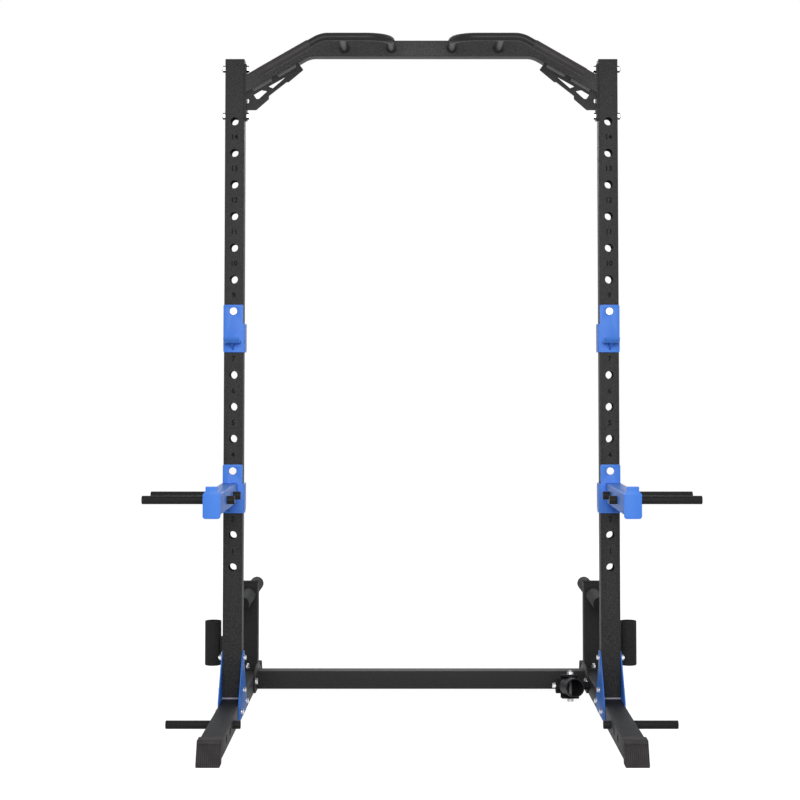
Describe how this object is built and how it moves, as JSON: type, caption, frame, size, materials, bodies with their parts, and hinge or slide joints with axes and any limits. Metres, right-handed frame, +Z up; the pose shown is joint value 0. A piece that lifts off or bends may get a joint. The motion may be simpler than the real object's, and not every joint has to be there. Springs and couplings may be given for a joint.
{
  "type": "half rack",
  "caption": "Free-standing half rack with bent pull-up bar and handles, J-hooks, spotter arms with pegs, plate storage, bar holders and a landmine swivel.",
  "frame": {"origin": "on the floor, under the middle of the rack's bounding box", "axes": "+Z up, +X to the lifter's right as seen from the front, +Y towards the rear storage posts; the front, with the hooks and arms, faces -Y"},
  "size_m": [1.654, 1.573, 2.13],
  "materials": {
    "black_frame": "satin black powder coat",
    "black_cap": "moulded black",
    "black_rubber": "matt black",
    "blue_paint": "semi-gloss blue powder coat",
    "black_peg": "smooth semi-gloss black",
    "zinc_bolt": "bright zinc plate",
    "bright_pin": "polished steel"
  },
  "bodies": {
    "frame": {"upright_left": "black_frame", "upright_right": "black_frame", "upright_cap_left": "black_cap", "upright_cap_right": "black_cap", "base_tube_left": "black_frame", "base_tube_right": "black_frame", "front_boot_left": "black_rubber", "front_boot_right": "black_rubber", "rear_boot_left": "black_rubber", "rear_boot_right": "black_rubber", "base_gusset_inner_left": "blue_paint", "base_gusset_inner_right": "blue_paint", "base_gusset_outer_left": "blue_paint", "base_gusset_outer_right": "blue_paint", "rear_post_left": "black_frame", "rear_post_right": "black_frame", "rear_post_cap_left": "black_cap", "rear_post_cap_right": "black_cap", "storage_horn_left": "black_peg", "storage_horn_right": "black_peg", "horn_cap_front_left": "black_cap", "horn_cap_front_right": "black_cap", "horn_cap_rear_left": "black_cap", "horn_cap_rear_right": "black_cap", "bar_holder_left": "black_frame", "bar_holder_right": "black_frame", "crossbar_flange_left": "black_frame", "crossbar_flange_right": "black_frame", "crossbar_gusset_left": "black_frame", "crossbar_gusset_right": "black_frame", "flange_bolt_upper_left": "zinc_bolt", "flange_bolt_upper_right": "zinc_bolt", "flange_bolt_lower_left": "zinc_bolt", "flange_bolt_lower_right": "zinc_bolt", "pull_up_handle_left": "black_frame", "pull_up_handle_right": "black_frame", "handle_grip_left": "black_rubber", "handle_grip_right": "black_rubber", "base_peg_left": "black_peg", "base_peg_right": "black_peg", "crossmember": "black_frame", "top_crossbar": "black_frame", "landmine_axle": "zinc_bolt"},
    "j_hook_pin_left": {"j_hook_pin_left": "bright_pin"},
    "j_hook_left": {"j_hook_left": "blue_paint"},
    "spotter_pin_left": {"spotter_arm_pin_left": "bright_pin"},
    "spotter_arm_left": {"spotter_arm_left": "blue_paint", "arm_peg_rear_left": "black_peg", "arm_peg_front_left": "black_peg"},
    "j_hook_pin_right": {"j_hook_pin_right": "bright_pin"},
    "j_hook_right": {"j_hook_right": "blue_paint"},
    "spotter_pin_right": {"spotter_arm_pin_right": "bright_pin"},
    "spotter_arm_right": {"spotter_arm_right": "blue_paint", "arm_peg_rear_right": "black_peg", "arm_peg_front_right": "black_peg"},
    "landmine_pivot": {"landmine_yoke": "black_frame", "landmine_bolt": "zinc_bolt"},
    "landmine_sleeve": {"landmine_sleeve": "black_peg"}
  },
  "joints": [
    {"name": "j_hook_pull_left", "type": "slide", "parent": "frame", "child": "j_hook_pin_left", "axis": [0, -1, 0], "range_m": [0, 0.085]},
    {"name": "j_hook_twist_left", "type": "hinge", "parent": "j_hook_pin_left", "child": "j_hook_left", "pos_m": [-0.59, -0.1135, 1.273], "axis": [0, -1, 0], "range_deg": [0, 90]},
    {"name": "spotter_pull_left", "type": "slide", "parent": "frame", "child": "spotter_pin_left", "axis": [0, -1, 0], "range_m": [0, 0.085]},
    {"name": "spotter_twist_left", "type": "hinge", "parent": "spotter_pin_left", "child": "spotter_arm_left", "pos_m": [-0.59, -0.1135, 0.773], "axis": [0, -1, 0], "range_deg": [0, 90]},
    {"name": "j_hook_pull_right", "type": "slide", "parent": "frame", "child": "j_hook_pin_right", "axis": [0, -1, 0], "range_m": [0, 0.085]},
    {"name": "j_hook_twist_right", "type": "hinge", "parent": "j_hook_pin_right", "child": "j_hook_right", "pos_m": [0.59, -0.1135, 1.273], "axis": [0, 1, 0], "range_deg": [0, 90]},
    {"name": "spotter_pull_right", "type": "slide", "parent": "frame", "child": "spotter_pin_right", "axis": [0, -1, 0], "range_m": [0, 0.085]},
    {"name": "spotter_twist_right", "type": "hinge", "parent": "spotter_pin_right", "child": "spotter_arm_right", "pos_m": [0.59, -0.1135, 0.773], "axis": [0, 1, 0], "range_deg": [0, 90]},
    {"name": "landmine_pitch", "type": "hinge", "parent": "frame", "child": "landmine_pivot", "pos_m": [0.49, 0.2865, 0.039], "axis": [-1, 0, 0], "range_deg": [0, 80]},
    {"name": "landmine_yaw", "type": "hinge", "parent": "landmine_pivot", "child": "landmine_sleeve", "pos_m": [0.49, 0.20814, 0.04906], "axis": [0, 0.1273, 0.9919], "range_deg": [-80, 14]}
  ]
}
